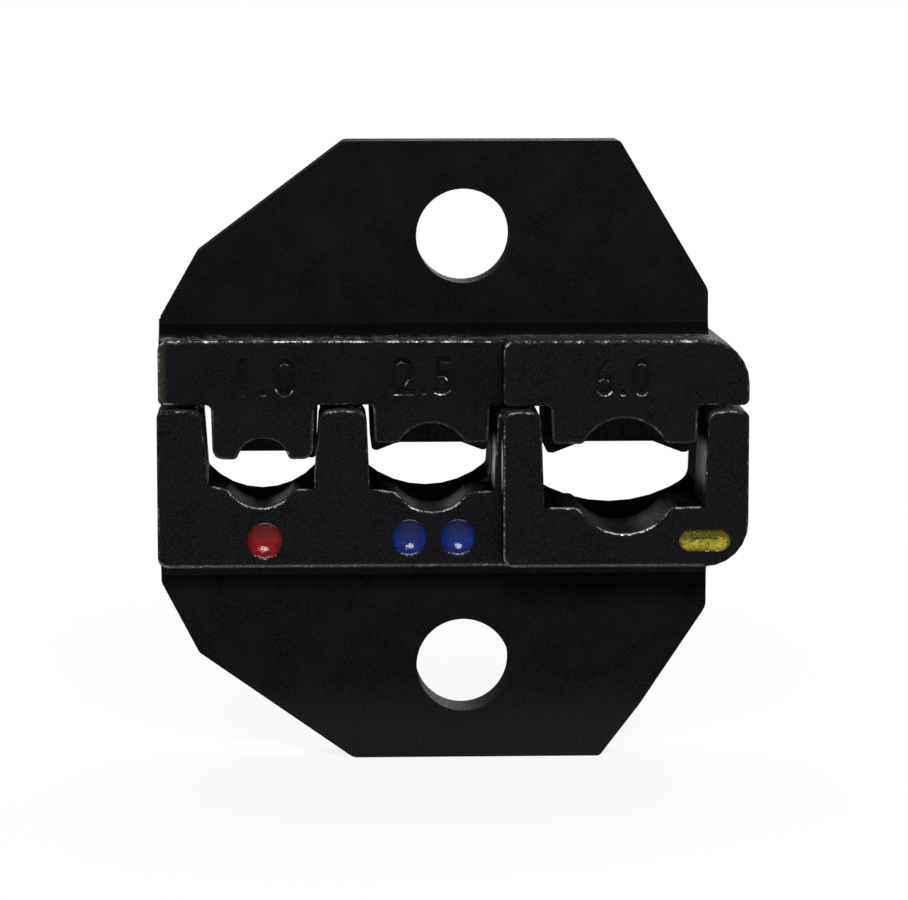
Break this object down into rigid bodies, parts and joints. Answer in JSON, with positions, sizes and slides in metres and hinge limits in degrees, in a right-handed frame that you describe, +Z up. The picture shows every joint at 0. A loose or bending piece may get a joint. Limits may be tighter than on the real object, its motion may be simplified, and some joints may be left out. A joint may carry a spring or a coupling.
{
  "type": "crimping die",
  "caption": "Crimping die set: upper and lower steel halves with side-by-side nests and punches, drilled mounting tabs and enamel colour marks; the upper half lifts off the lower.",
  "frame": {"origin": "on the lower tab's flat bottom edge, under both screw holes, halfway through the tab's thickness", "axes": "+Z up from the lower half to the upper half, along the jaw travel; +X to the right seen from the marked face; +Y away from the marked face, through the tabs"},
  "size_m": [0.0343, 0.0117, 0.0364],
  "materials": {
    "black_oxide_steel": "black oxide, satin, worn bright on the edges",
    "red_enamel": "glossy enamel paint",
    "blue_enamel": "glossy enamel paint",
    "yellow_enamel": "rough enamel paint"
  },
  "bodies": {
    "lower_half": {"lower_die": "black_oxide_steel", "red_enamel_dot": "red_enamel", "blue_enamel_dot_left": "blue_enamel", "blue_enamel_dot_right": "blue_enamel", "yellow_enamel_slot": "yellow_enamel"},
    "upper_half": {"upper_die": "black_oxide_steel"}
  },
  "joints": [
    {"name": "jaw_travel", "type": "slide", "parent": "lower_half", "child": "upper_half", "axis": [0, 0, 1], "range_m": [0, 0.012]}
  ]
}
